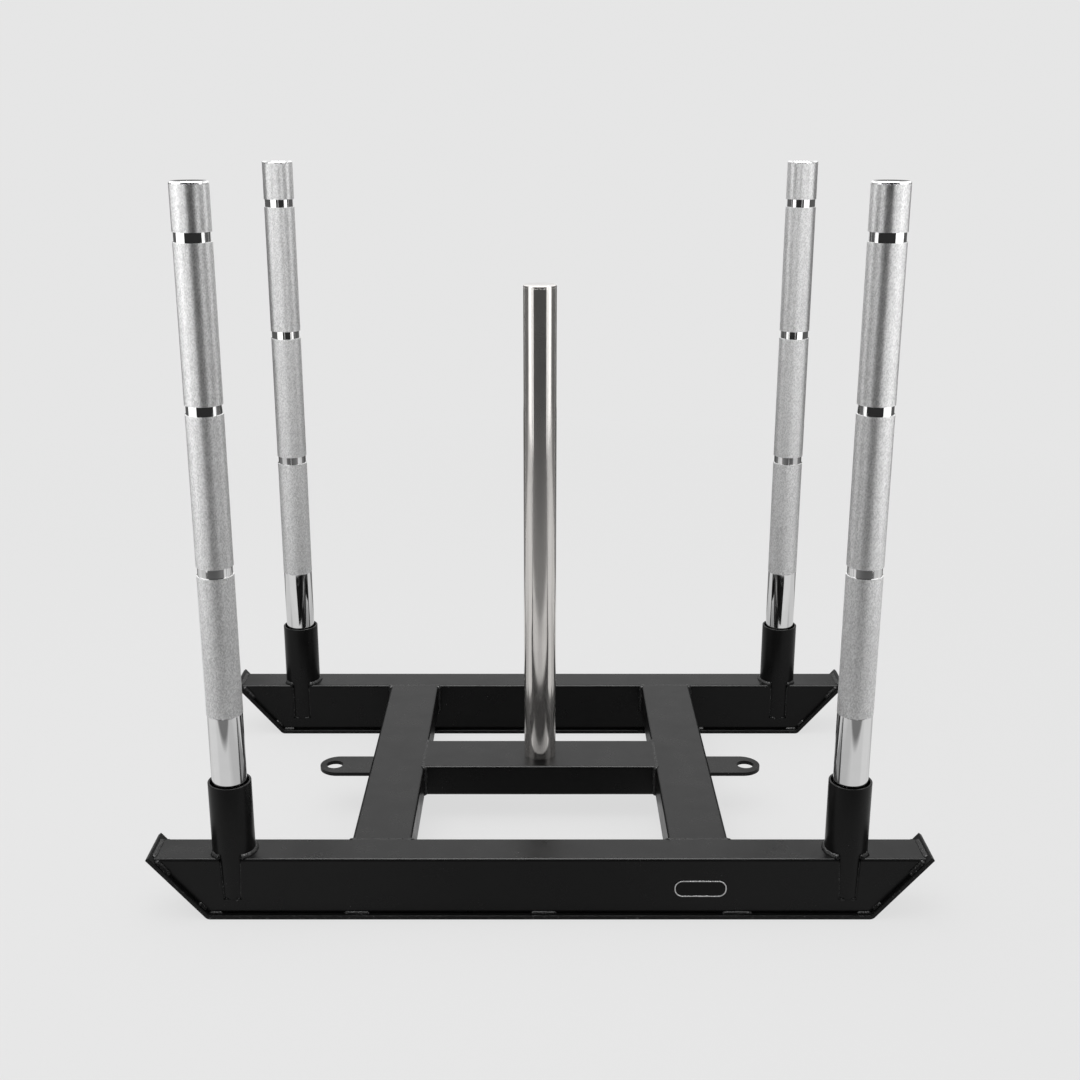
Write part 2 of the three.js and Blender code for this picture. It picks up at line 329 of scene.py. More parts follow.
class Nodes:
    """Short calls for one material's nodes. Its place is a point in the piece's own coordinates."""

    def __init__(self, name):
        self.material = bpy.data.materials.new(name)
        self.material.use_nodes = True
        self.tree = self.material.node_tree
        self.shader = self.tree.nodes["Principled BSDF"]
        self.place = self.new("ShaderNodeTexCoord").outputs["Object"]

    def link(self, value, socket):
        """Sets a socket to a number or colour, or joins it to another node's socket."""
        if isinstance(value, bpy.types.NodeSocket):
            self.tree.links.new(value, socket)
        else:
            socket.default_value = value

    def fill(self, node, **sockets):
        """Sets a node's sockets, their names written with _ for a space."""
        for name, value in sockets.items():
            self.link(value, node.inputs[name.replace("_", " ")])

    def new(self, kind, *values, **sockets):
        """A node with its sockets set in their order, or by name."""
        node = self.tree.nodes.new(kind)
        for value, socket in zip(values, node.inputs):
            self.link(value, socket)
        self.fill(node, **sockets)
        return node

    def finished(self, **sockets):
        """The material, once the usual shader's sockets are set."""
        self.fill(self.shader, **sockets)
        return self.material

    def maths(self, operation, *values):
        node = self.new("ShaderNodeMath", *values)
        node.operation = operation
        return node.outputs[0]

    def times(self, first, second):
        return self.maths("MULTIPLY", first, second)

    def distance(self, x, y):
        squares = [self.maths("POWER", value, 2.0) for value in (x, y)]
        return self.maths("SQRT", self.maths("ADD", *squares))

    def parts(self):
        """The x, y and z of its place."""
        return self.new("ShaderNodeSeparateXYZ", self.place).outputs

    def joined(self, x, y, z):
        return self.new("ShaderNodeCombineXYZ", x, y, z).outputs[0]

    def noise(self, scale=1.0, detail=2.0, roughness=0.5, stretch=None):
        """A noise at its place, or with the parts of its place each times a stretch."""
        place = self.place
        if stretch:
            place = self.joined(*[self.times(*pair) for pair in zip(self.parts(), stretch)])
        sockets = {"Vector": place, "Scale": scale, "Detail": detail, "Roughness": roughness}
        return self.new("ShaderNodeTexNoise", **sockets).outputs["Fac"]

    def seen(self):
        """1 on rays from the camera and on those that metal sends on, 0 on all other light."""
        path = self.new("ShaderNodeLightPath").outputs
        return self.maths("MAXIMUM", path["Is Camera Ray"], path["Is Glossy Ray"])

    def surface(self, shader):
        """Gives the material another shader in place of the usual one."""
        self.link(shader.outputs[0], self.tree.nodes["Material Output"].inputs["Surface"])
        self.tree.nodes.remove(self.shader)

    def mixed(self, share, first, second):
        """Makes the surface a mix of two shaders."""
        self.surface(self.new("ShaderNodeMixShader", share, first.outputs[0], second.outputs[0]))

    def span(self, value, low, high, to_low=0.0, to_high=1.0):
        """A value carried from one range to another, and held at its ends."""
        return self.new("ShaderNodeMapRange", value, low, high, to_low, to_high).outputs[0]

    def spread(self, value, to_low, to_high):
        return self.span(value, NOISE_LOW, NOISE_HIGH, to_low, to_high)

    def blend(self, share, first, second):
        node = self.new("ShaderNodeMix", share)
        node.data_type = "RGBA"
        colours = [socket for socket in node.inputs if socket.type == "RGBA"]
        for colour, socket in zip((first, second), colours):
            self.link(colour, socket)
        return next(socket for socket in node.outputs if socket.type == "RGBA")

    def facing(self, vector):
        """A normal from a direction in the piece's own coordinates."""
        turn = self.new("ShaderNodeVectorTransform", vector)
        turn.vector_type = "NORMAL"
        turn.convert_from = "OBJECT"
        turn.convert_to = "WORLD"
        unit = self.new("ShaderNodeVectorMath", turn.outputs[0])
        unit.operation = "NORMALIZE"
        return unit.outputs[0]

    def bump(self, height, depth, **under):
        """A normal that follows a height, on top of another Normal if one is given."""
        node = self.new("ShaderNodeBump", Height=height, Distance=depth, Strength=1.0, **under)
        return node.outputs["Normal"]


def grey(value, warmth=0.0):
    return (value * (1 + warmth), value, value * (1 - warmth), 1)


def powder_coat(name, peel_depth, roughness=0.30, specular=0.17, nicks_and_glints=None):
    """Satin black coat: fine orange peel, slow mottling of its gloss and a trace of dust."""
    nodes = Nodes(name)
    peel = nodes.noise(scale=650.0, detail=3.0)
    grain = nodes.noise(scale=2600.0)
    mottle = nodes.noise(scale=24.0, detail=4.0)
    dust = nodes.noise(scale=900.0, detail=6.0, roughness=0.7)
    tone = nodes.blend(mottle, grey(0.0030), grey(0.0048))
    colour = nodes.blend(nodes.span(dust, 0.62, 0.78, to_high=0.35), tone, grey(0.020))
    if nicks_and_glints:
        # Light spots from the given mask: real nicks on the shoes, painted glints on the welds.
        colour = nodes.blend(nicks_and_glints(nodes), colour, grey(0.14))
    grained = nodes.bump(grain, COAT_GRAIN_SHARE * peel_depth)
    return nodes.finished(
        Base_Color=colour,
        Roughness=nodes.spread(mottle, roughness - COAT_SWING, roughness + COAT_SWING),
        Specular_IOR_Level=specular,
        Normal=nodes.bump(peel, peel_depth, Normal=grained),
    )


def shoe_nicks(nodes):
    """Small nicks along the side edges of the shoes."""
    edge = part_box("left_shoe")[1].y
    across = nodes.maths("ABSOLUTE", nodes.parts()[1])
    near_edge = nodes.span(across, edge - SHOE_EDGE, edge - SHOE_EDGE / 2)
    spots = nodes.noise(scale=260.0, detail=4.0, roughness=0.6)
    return nodes.times(near_edge, nodes.span(spots, 0.60, 0.66, to_high=0.4))


def painted_weld_glints(nodes):
    """Small light specks scattered over a weld: painted glints that stand in for the bright spots on its
    ripples.
    """
    spots = nodes.noise(scale=420.0, detail=4.0, roughness=0.6)
    return nodes.span(spots, 0.60, 0.68, to_high=0.8)


def chrome():
    """Bright plating with faint polishing marks round the pole."""
    nodes = Nodes("smooth_chrome")
    marks = nodes.noise(detail=3.0, stretch=(12.0, 12.0, 2400.0))
    haze = nodes.noise(scale=60.0, detail=3.0)
    return nodes.finished(
        Base_Color=nodes.blend(haze, grey(0.76), grey(0.81)),
        Metallic=1.0,
        Roughness=nodes.spread(haze, 0.025, 0.05),
        Normal=nodes.bump(marks, 0.003 * MILLIMETRE),
    )


def knurled_chrome(radius):
    """Plating over a diamond knurl: two crossing sets of grooves that leave small blunt pyramids."""
    nodes = Nodes("knurled_chrome")
    x, y, z = nodes.parts()
    turns = nodes.times(nodes.maths("ARCTAN2", y, x), KNURL_STARTS / math.tau)
    climb = nodes.times(z, KNURL_STARTS * math.tan(KNURL_LEAN) / (math.tau * radius))
    ways = [nodes.maths(way, turns, climb) for way in ("ADD", "SUBTRACT")]
    heights = [nodes.maths("PINGPONG", way, 0.5) for way in ways]
    cell = nodes.joined(*[nodes.maths("FLOOR", way) for way in ways], 0.0)
    luck = nodes.new("ShaderNodeTexWhiteNoise", Vector=cell).outputs["Value"]
    grain = nodes.noise(scale=900.0, roughness=0.7)
    gloss = nodes.times(nodes.span(luck, 0.0, 1.0, to_low=0.70), nodes.spread(grain, 0.84, 1.0))
    wear = nodes.spread(nodes.noise(scale=45.0, detail=4.0, roughness=0.6), 0.29, 0.35)
    for ring in range(RING_COUNT):
        below = nodes.maths("LESS_THAN", z, ring_height(ring))
        wear = nodes.maths("ADD", wear, nodes.times(below, KNURL_WEAR))
    return nodes.finished(
        Base_Color=nodes.joined(gloss, gloss, gloss),
        Metallic=1.0,
        Roughness=wear,
        Normal=nodes.facing(knurl_normal(nodes, x, y, ways, heights, radius)),
    )


def knurl_normal(nodes, x, y, ways, heights, radius):
    """The direction each side of a pyramid faces. Each point takes the slope of the nearer groove."""
    rising = []
    for way in ways:
        first_half = nodes.maths("LESS_THAN", nodes.maths("FRACT", way), 0.5)
        rising.append(nodes.span(first_half, 0.0, 1.0, -KNURL_SLOPE, KNURL_SLOPE))
    chosen = nodes.maths("LESS_THAN", *heights)
    other = nodes.maths("SUBTRACT", 1.0, chosen)
    sharp = nodes.maths("LESS_THAN", nodes.maths("MINIMUM", *heights), KNURL_BLUNT_SHARE)
    slopes = [nodes.times(nodes.times(*pair), sharp) for pair in zip((chosen, other), rising)]
    round_pole = nodes.maths("ADD", *slopes)
    along_pole = nodes.times(nodes.maths("SUBTRACT", *slopes), math.tan(KNURL_LEAN) * radius)
    return nodes.joined(
        nodes.maths("ADD", x, nodes.times(round_pole, y)),
        nodes.maths("SUBTRACT", y, nodes.times(round_pole, x)),
        nodes.times(along_pole, -1.0),
    )


def stainless():
    """Polished stainless tube with faint streaks along its length."""
    nodes = Nodes("polished_stainless")
    streaks = nodes.noise(detail=4.0, roughness=0.65, stretch=(520.0, 520.0, 3.0))
    haze = nodes.noise(scale=40.0, detail=3.0)
    return nodes.finished(
        Base_Color=nodes.blend(streaks, grey(0.64, 0.04), grey(0.76, 0.03)),
        Metallic=0.93,
        Roughness=nodes.spread(haze, 0.11, 0.16),
        Normal=nodes.bump(streaks, 0.004 * MILLIMETRE),
    )


def zinc():
    """Zinc plating, mottled and slightly grained."""
    nodes = Nodes("zinc_plating")
    mottle = nodes.noise(scale=220.0, detail=5.0, roughness=0.65)
    grain = nodes.noise(scale=2200.0)
    return nodes.finished(
        Base_Color=nodes.blend(mottle, (0.42, 0.43, 0.44, 1), (0.60, 0.60, 0.58, 1)),
        Metallic=1.0,
        Roughness=nodes.spread(mottle, 0.32, 0.48),
        Normal=nodes.bump(grain, 0.03 * MILLIMETRE),
    )


def plate_face():
    """Dark face of the blank plate, finely brushed along its length."""
    nodes = Nodes("dark_plate")
    brushed = nodes.noise(detail=3.0, stretch=(40.0, 1.0, 3000.0))
    return nodes.finished(
        Base_Color=nodes.blend(brushed, grey(0.003), grey(0.006)),
        Roughness=nodes.spread(brushed, 0.30, 0.42),
        Specular_IOR_Level=0.12,
        Normal=nodes.bump(brushed, 0.01 * MILLIMETRE),
    )


def bright_rim():
    """Bare bright metal, slightly hazed."""
    nodes = Nodes("bright_rim")
    haze = nodes.noise(scale=400.0, detail=3.0)
    return nodes.finished(
        Base_Color=nodes.blend(haze, grey(0.55), grey(0.68)),
        Metallic=1.0,
        Roughness=nodes.spread(haze, 0.22, 0.34),
        Normal=nodes.bump(haze, 0.02 * MILLIMETRE),
    )


pole_low, pole_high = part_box("front_left_pole")
pole_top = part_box("front_left_pole_cap")[1].z


def ring_height(ring):
    """Height of a ring's middle. The rings are counted from the top."""
    return pole_top - FIRST_RING_DROP - ring * RING_PITCH


knurled_finish = knurled_chrome((pole_high.x - pole_low.x) / 2)
frame_coat = powder_coat("frame_powder_coat", 0.03 * MILLIMETRE)
# Over the welds the coat's light specks are painted glints.
weld_coat = powder_coat("powder_coat_over_weld", 0.16 * MILLIMETRE, 0.32, 0.28, painted_weld_glints)
shoe_coat = powder_coat("shoe_powder_coat", 0.04 * MILLIMETRE, 0.34, 0.16, shoe_nicks)
smooth_chrome = chrome()
polished_stainless = stainless()
zinc_plating = zinc()
dark_plate = plate_face()
plate_rim = bright_rim()


def make_rail(side):
    """Tube on edge with sloped ends, holes from above for the sockets and slots in its side walls."""
    low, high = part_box(f"{side}_rail")
    centre = middle(low, high)

    def place(sign, u, v):
        z = centre.z + v
        return (sign * (high.x - (high.z - z) / math.tan(RAMP_ANGLE)), centre.y + u, z)

    shape = tube_shape(high.y - low.y, high.z - low.z, partial(place, -1), partial(place, 1))
    rail = shape.piece(f"{side}_rail_tube", [frame_coat])
    cut(rail, *socket_cutters(side, high))
    weigh_normals(rail)
    fasten(rail, f"{side}_rail")


def socket_cutters(side, rail_high):
    """For each socket a round hole from above, and slots where it reaches into the side walls."""
    cutters = []
    for end in ENDS:
        low, high, axis, radius = round_box(f"{end}_{side}_socket")
        reach = radius + SOCKET_CLEARANCE
        bottom = low.z - SOCKET_CLEARANCE
        top = rail_high.z + reach
        hole = rod_shape(reach, bottom, top)
        hole.points = [(axis.x + x, axis.y + y, z) for x, y, z in hole.points]
        cutters.append(hole)
        for face in FACES.values():
            foot_half = slot_foot_half(side, face)
            cutters.append(slot_shape(axis, bottom, top, rail_high.z, face * 2 * reach, foot_half))
    return cutters


def slot_foot_half(side, face):
    """Half the width of a slot at its foot, on the rail's outer face or on its inner one."""
    return OUTER_SLOT_FOOT_HALF if face == SIDES[side] else INNER_SLOT_FOOT_HALF


def slot_half(foot_half, height, bottom, rail_top):
    """Half the width of a slot at a height. Its sides draw in towards its foot."""
    return foot_half + (SLOT_TOP_HALF - foot_half) * (height - bottom) / (rail_top - bottom)


def slot_shape(axis, bottom, top, rail_top, reach, foot_half):
    """A block from the middle of the rail out through one side wall."""
    outlines = []
    for z in (bottom, top):
        half = slot_half(foot_half, z, bottom, rail_top)
        corners = ((-half, 0), (half, 0), (half, reach), (-half, reach))
        outlines.append([(axis.x + x, axis.y + y, z) for x, y in corners])
    return drawn_shape(*outlines)


def shoe_outline(low, high):
    """Side view (x, z) of a shoe: flat under the rail, with a bend and a ramp at each end."""
    slope = Vector((math.cos(RAMP_ANGLE), math.sin(RAMP_ANGLE)))
    outward = Vector((slope.y, -slope.x))
    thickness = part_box("left_rail")[0].z
    outer_end = Vector((high.x, high.z - thickness * slope.x))
    inner_end = outer_end - outward * thickness
    inner_bend = inner_end - slope * ((inner_end.y - thickness) / slope.y)
    corner = Vector((inner_bend.x + thickness * math.tan(RAMP_ANGLE / 2), low.z))
    setback = SHOE_BEND_RADIUS * math.tan(RAMP_ANGLE / 2)
    centre = (corner.x - setback, low.z + SHOE_BEND_RADIUS)
    bend = arc(centre, SHOE_BEND_RADIUS, -math.pi / 2, RAMP_ANGLE, BEND_STEPS)
    half = bend + [tuple(outer_end), tuple(inner_end), tuple(inner_bend)]
    return half + [(-x, z) for x, z in reversed(half)]


def make_shoe(side):
    low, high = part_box(f"{side}_shoe")
    outline = shoe_outline(low, high)
    shape = drawn_shape(*[[(x, y, z) for x, z in outline] for y in (low.y, high.y)])
    shoe = shape.piece(f"{side}_shoe_bar", [shoe_coat])
    soften_edges(shoe, SHOE_EDGE)
    fasten(shoe, f"{side}_shoe", slot="shoe_coat")


def level_tube(node, along):
    """Width and height of a tube along X or Y, and where a point (u, v) of its outline is at end 0 or 1."""
    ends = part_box(node)
    low, high = ends
    centre = middle(low, high)
    across = ALONG_X if along == ALONG_Y else ALONG_Y

    def place(end, u, v):
        point = [centre.x + u, centre.y + u, centre.z + v]
        point[along] = ends[end][along]
        return Vector(point)

    return high[across] - low[across], high.z - low.z, place


def make_level_tube(node, along, *cutters):
    width, height, place = level_tube(node, along)
    shape = tube_shape(width, height, partial(place, 0), partial(place, 1))
    tube = shape.piece(f"{node}_tube", [frame_coat])
    if cutters:
        cut(tube, *cutters)
    weigh_normals(tube)
    fasten(tube, node)


def make_crosspiece():
    """Tube under the weight post, with a hole for the post's bolt."""
    low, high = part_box("centre_crosspiece")
    hole = rod_shape(BOLT_HOLE_RADIUS, low.z - TUBE_WALL, high.z + TUBE_WALL)
    make_level_tube("centre_crosspiece", ALONG_X, hole)


def flat_bar(name, outer, hole, low, high):
    """A flat piece with a hole, between two heights. Its outlines are (x, y) points."""
    shape = Shape()
    loops = (outer, hole)
    triangles = tessellate_polygon([[Vector((x, y, 0)) for x, y in loop] for loop in loops])
    levels = []
    for z in (low, high):
        rings = [shape.ring([(x, y, z) for x, y in loop]) for loop in loops]
        numbers = rings[0] + rings[1]
        for triangle in triangles:
            shape.face([numbers[corner] for corner in triangle])
        levels.append(rings)
    for bottom, top in zip(*levels):
        shape.bridge(bottom, top)
    return shape.piece(name, [frame_coat])


def make_lug(end):
    """Flat bar with a half-round end and a hole."""
    low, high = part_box(f"{end}_tow_lug")
    sign = ENDS[end]
    half = (high.y - low.y) / 2
    root, tip = (low.x, high.x) if sign > 0 else (high.x, low.x)
    centre_y = middle(low, high).y
    steps = ROUND_STEPS // 2
    tip_arc = arc((tip - sign * half, centre_y), half, -sign * math.pi / 2, math.pi, steps)
    outer = tip_arc + [(root, tip_arc[-1][1]), (root, tip_arc[0][1])]
    hole = circle(LUG_HOLE_RADIUS, (tip - sign * LUG_HOLE_INSET, centre_y), steps)
    lug = flat_bar(f"{end}_tow_lug_bar", outer, hole, low.z, high.z)
    soften_edges(lug, LUG_EDGE)
    fasten(lug, f"{end}_tow_lug")


def make_socket(end, side):
    low, high, axis, outer = round_box(f"{end}_{side}_socket")
    inner = outer - SOCKET_WALL
    quarter = math.pi / 2
    rim = arc((outer - SOCKET_EDGE, high.z - SOCKET_EDGE), SOCKET_EDGE, 0, quarter, SOCKET_RIM_STEPS)
    half = SOCKET_EDGE / 2
    lip = arc((inner + half, high.z - half), half, quarter, quarter, SOCKET_LIP_STEPS)
    profile = [(inner, low.z), (outer, low.z)] + rim + lip
    socket = turned_shape(profile).piece(f"{end}_{side}_socket_tube", [frame_coat], (axis.x, axis.y, 0))
    fasten(socket, f"{end}_{side}_socket")


def pole_profile(low, high, radius):
    """Outer side of a pole from its foot up, and whether each stretch of it is knurled."""
    plain = radius - KNURL_RISE
    groove = radius - RING_DEPTH
    bore = plain - POLE_WALL
    points = [(bore, low.z), (plain - FOOT_CHAMFER, low.z), (plain, low.z + FOOT_CHAMFER)]
    knurled = [0, 0, 0]
    start = pole_top - KNURL_LENGTH
    points += [(plain, start), (radius, start + KNURL_CHAMFER)]
    knurled += [0, 1]
    for ring in reversed(range(RING_COUNT)):
        bottom = ring_height(ring) - RING_WIDTH / 2
        top = ring_height(ring) + RING_WIDTH / 2
        points += [(radius, bottom - RING_SHOULDER), (groove, bottom)]
        points += [(groove, top), (radius, top + RING_SHOULDER)]
        knurled += [0, 0, 0, 1]
    points += [(radius, high.z - CAP_SEAM), (radius - CAP_SEAM, high.z), (bore, high.z)]
    knurled += [0, 0, 0]
    return points, knurled


def make_pole(end, side):
    node = f"{end}_{side}_pole"
    body = f"{end}_{side}_push_pole"
    low, high, axis, radius = round_box(node)
    profile, knurled = pole_profile(low, high, radius)
    finishes = [smooth_chrome, knurled_finish]
    shape = turned_shape(profile, finishes=knurled)
    pole = shape.piece(f"{node}_tube", finishes, (axis.x, axis.y, 0))
    fasten(pole, node, body=body, slot="pole_chrome")
    make_cap(f"{node}_cap", POLE_CAP_EDGE, POLE_CAP_DOME, finishes, body, "pole_chrome")


def make_cap(node, edge, dome, finishes, body, slot):
    """Slightly domed disc that closes a tube, its side in the second finish, with a spigot below."""
    low, high, axis, radius = round_box(node)
    seat = high.z - CAP_THICKNESS
    spigot = radius - CAP_THICKNESS
    flat = radius - edge
    rounded = arc((flat, high.z - dome - edge), edge, 0, math.pi / 2, CAP_EDGE_STEPS)
    crown = []
    for step in range(1, CAP_DOME_STEPS + 1):
        share = 1 - step / CAP_DOME_STEPS
        crown.append((flat * share, high.z - dome * share ** 2))
    foot = [(0, low.z), (spigot, low.z), (spigot, seat), (radius - CAP_SEAM, seat)]
    foot.append((radius, seat + CAP_SEAM))
    on_side = [0] * (len(foot) - 1) + [1] + [0] * (len(rounded) + len(crown) - 1)
    shape = turned_shape(foot + rounded + crown, closed=False, finishes=on_side)
    cap = shape.piece(f"{node}_disc", finishes, (axis.x, axis.y, 0))
    fasten(cap, node, body=body, slot=slot)


def make_post():
    low, high, axis, outer = round_box("weight_post")
    inner = outer - TUBE_WALL
    profile = [(inner, low.z), (outer - CAP_SEAM, low.z), (outer, low.z + CAP_SEAM)]
    profile += [(outer, high.z - CAP_SEAM), (outer - CAP_SEAM, high.z), (inner, high.z)]
    post = turned_shape(profile).piece("weight_post_tube", [polished_stainless], (axis.x, axis.y, 0))
    fasten(post, "weight_post", slot="post_steel")
    finishes = [polished_stainless] * 2
    make_cap("weight_post_cap", POST_CAP_EDGE, POST_CAP_DOME, finishes, "frame", "post_steel")


def make_blank_plate():
    """Dark plate with a bright raised rim on the outer face of the right rail."""
    low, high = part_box("blank_plate")
    centre = middle(low, high)
    width = high.x - low.x
    height = high.z - low.z
    radius = PLATE_CORNER_SHARE * height
    steps = 2 * CORNER_STEPS
    levels = [(0, high.y), (0, low.y + PLATE_EDGE), (PLATE_EDGE, low.y), (PLATE_RIM, low.y)]
    levels.append((PLATE_RIM + PLATE_SINK, low.y + PLATE_SINK))
    shape = Shape()
    rings = []
    for inset, y in levels:
        outline = rounded_outline(width - 2 * inset, height - 2 * inset, radius - inset, steps)
        rings.append(shape.ring([(centre.x + u, y, centre.z + v) for u, v in outline]))
    for first, second in zip(rings, rings[1:]):
        shape.bridge(first, second, 1)
    shape.face(rings[0], 1)
    shape.face(rings[-1])
    plate = shape.piece("blank_plate_face", [dark_plate, plate_rim])
    fasten(plate, "blank_plate", slot="plate_metal")


# A place along a weld: its root, the directions across and out of it, half its width, its rise, and how
# far its middle stands out from the root
Station = namedtuple("Station", "root across out half_width rise lift")

# Beads: their sections and ripples, and the shares of their width and rise that each unevenness takes
BEAD_STEP = 0.8 * MILLIMETRE
BEAD_SIDES = 8
BEAD_SINK = 1.2 * MILLIMETRE
RIPPLE_PITCH = 3.4 * MILLIMETRE
RIPPLE_BOW = 1.3 * MILLIMETRE
TAPER_LENGTH = 4 * MILLIMETRE
LEAST_TAPER_SHARE = 0.12
ROUGH_PER_METRE = 300
PITS_PER_METRE = 900
PIT_SEED = 7
WIDTH_STEADY_SHARE = 0.92
WIDTH_RIPPLE_SHARE = 0.06
WIDTH_ROUGH_SHARE = 0.26
RISE_STEADY_SHARE = 0.70
RISE_RIPPLE_SHARE = 0.40
RISE_ROUGH_SHARE = 0.45
RISE_PIT_SHARE = 0.45
FILLET_RISE_SHARE = 0.22

# On a rail round a socket: 1 outboard of it or -1 inboard, the ends in degrees from there, and the legs in
# millimetres at the first end, in the middle and at the last end
SOCKET_WELD_STEPS = 24
SOCKET_WELDS = {
    "near": (1, -64, -26, (5.8, 4.4, 5.2)),
    "far": (1, 26, 64, (5.2, 4.4, 5.8)),
    "inboard": (-1, -64, 64, (5.8, 4.2, 5.8)),
}

# Round a slot. At its foot a bead runs between two shares of the slot's half width
SLOT_BEAD_HALF = 2.2 * MILLIMETRE
SLOT_BEAD_RISE = 1.1 * MILLIMETRE
SLOT_BEAD_LIFT = 1.2 * MILLIMETRE
SLOT_SUNK_HALF = 1.9 * MILLIMETRE
SLOT_SUNK_LIFT = 0.4 * MILLIMETRE
SLOT_FOOT_SHARES = {"foot_inboard": (0.25, 1), "foot_outboard": (-1, -0.4)}

# Between shoe and rail, in millimetres: along the rail, down from its top with each bead's leg, and out
# from the middle
SHOE_WELD_LEG = 3.4 * MILLIMETRE
RAMP_TOP_WELD_LEG = 3.6 * MILLIMETRE
STITCHES = ((-276, -240), (-13, 24), (256, 299))
RAMP_BEADS = ((3, 25, 5.0), (68, 80, 3.4))
BEND_BEAD = (446, 466)

# Under the lugs and round the ends of the level tubes, and where such a tube is flush with its neighbour
LUG_WELD_LEG = 4 * MILLIMETRE
TUBE_WELD_LEG = 5 * MILLIMETRE
FLUSH_WELD_HALF = 4 * MILLIMETRE
FLUSH_WELD_RISE = 0.9 * MILLIMETRE
FLUSH_WELD_SINK = 0.78 * MILLIMETRE
FLUSH_WELD_SETBACK = 1.6 * MILLIMETRE

# Seeds that give each weld ripples of its own
END_SEED = 20
SLOT_SEED = 5
SLOT_BEAD_SEED = 0.37
CROSSMEMBER_SEED = 10
LUG_SEED = 12
CROSSPIECE_SEED = 40
SHOE_SEED = 50


def between(first, second, share):
    """The station part of the way from one station to the next."""
    across = first.across.lerp(second.across, share).normalized()
    out = first.out.lerp(second.out, share).normalized()
    sizes = [a + (b - a) * share for a, b in zip(first[3:], second[3:])]
    return Station(first.root.lerp(second.root, share), across, out, *sizes)


def spaced(stations):
    """Stations one step apart along the same run."""
    found = [stations[0]]
    for first, second in zip(stations, stations[1:]):
        count = max(1, round((second.root - first.root).length / BEAD_STEP))
        found += [between(first, second, step / count) for step in range(1, count + 1)]
    return found


def bead(stations, seed, closed=False):
    """A weld bead with ripples bowed along its run, uneven edges, and ends that taper off."""
    shape = Shape()
    run = spaced(stations)
    length = BEAD_STEP * (len(run) - 1)
    rings = []
    for number, station in enumerate(run):
        along = number * BEAD_STEP
        from_end = min(along, length - along)
        taper = 1.0
        if not closed and from_end < TAPER_LENGTH:
            share = from_end / TAPER_LENGTH
            taper = max(LEAST_TAPER_SHARE, math.sqrt(1 - (1 - share) ** 2))
        rings.append(shape.ring(bead_section(station, along, taper, seed)))
    if closed:
        rings = rings[:-1]
        shape.bridge(rings[-1], rings[0])
    for first, second in zip(rings, rings[1:]):
        shape.bridge(first, second)
    if not closed:
        shape.face(rings[0])
        shape.face(rings[-1])
    return shape


def bead_section(station, along, taper, seed):
    """One section across a bead, with a last point sunk behind the joint."""
    points = []
    centre = station.root + station.out * station.lift * taper
    for side in range(BEAD_SIDES + 1):
        angle = math.pi * side / BEAD_SIDES
        bowed = along - RIPPLE_BOW * math.sin(angle)
        ripple = abs(math.sin(math.pi * bowed / RIPPLE_PITCH))
        rough = noise.noise(Vector((along * ROUGH_PER_METRE, angle, seed)))
        pits = noise.noise(Vector((along * PITS_PER_METRE, 2 * angle, seed + PIT_SEED)))
        wide = WIDTH_STEADY_SHARE + WIDTH_RIPPLE_SHARE * ripple + WIDTH_ROUGH_SHARE * rough
        high = RISE_STEADY_SHARE + RISE_RIPPLE_SHARE * ripple + RISE_ROUGH_SHARE * rough
        high += RISE_PIT_SHARE * pits
        sideways = station.across * (station.half_width * taper * wide) * math.cos(angle)
        upward = station.out * (station.rise * taper * high) * math.sin(angle)
        points.append(centre + sideways + upward)
    points.append(station.root - station.out * BEAD_SINK)
    return points


def add_bead(name, stations, seed, closed=False):
    piece = bead(stations, seed, closed).piece(name, [weld_coat], sharp_angle=WELD_SHARP_ANGLE)
    fasten(piece)


def fillet(root, wall, ledge, leg):
    """A station of a weld in a corner, from the directions in which its two sides leave the corner."""
    half_chord = leg * (wall - ledge).length / 2
    lift = leg * (wall + ledge).length / 2
    across = (wall - ledge).normalized()
    return Station(root, across, (wall + ledge).normalized(), half_chord, FILLET_RISE_SHARE * leg, lift)


def rail_surface(offset, rail_low, rail_high):
    """Height of a rail's top at a distance across from its middle, with its round edge."""
    flat = (rail_high.y - rail_low.y) / 2 - TUBE_CORNER
    past = min(max(abs(offset) - flat, 0), TUBE_CORNER)
    return rail_high.z - TUBE_CORNER + math.sqrt(TUBE_CORNER ** 2 - past ** 2)


def weld_socket(end, side, seed):
    """Weld on the rail's top: two short beads outboard of a socket and a long one inboard of it."""
    low, high, axis, radius = round_box(f"{end}_{side}_socket")
    rail_low, rail_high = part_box(f"{side}_rail")
    for name, (outboard, first, last, legs) in SOCKET_WELDS.items():
        way = outboard * ENDS[end]
        first_leg, middle_leg, last_leg = legs
        stations = []
        for step in range(SOCKET_WELD_STEPS + 1):
            share = step / SOCKET_WELD_STEPS
            angle = math.radians(first + (last - first) * share)
            outward = Vector((way * math.cos(angle), math.sin(angle), 0))
            root = Vector((axis.x, axis.y, 0)) + outward * radius
            root.z = rail_surface(root.y - axis.y, rail_low, rail_high)
            end_leg = first_leg if share < 0.5 else last_leg
            leg = (middle_leg + (end_leg - middle_leg) * (2 * share - 1) ** 2) * MILLIMETRE
            stations.append(fillet(root, UP, outward, leg))
        add_bead(f"{end}_{side}_socket_weld_{name}", stations, seed)


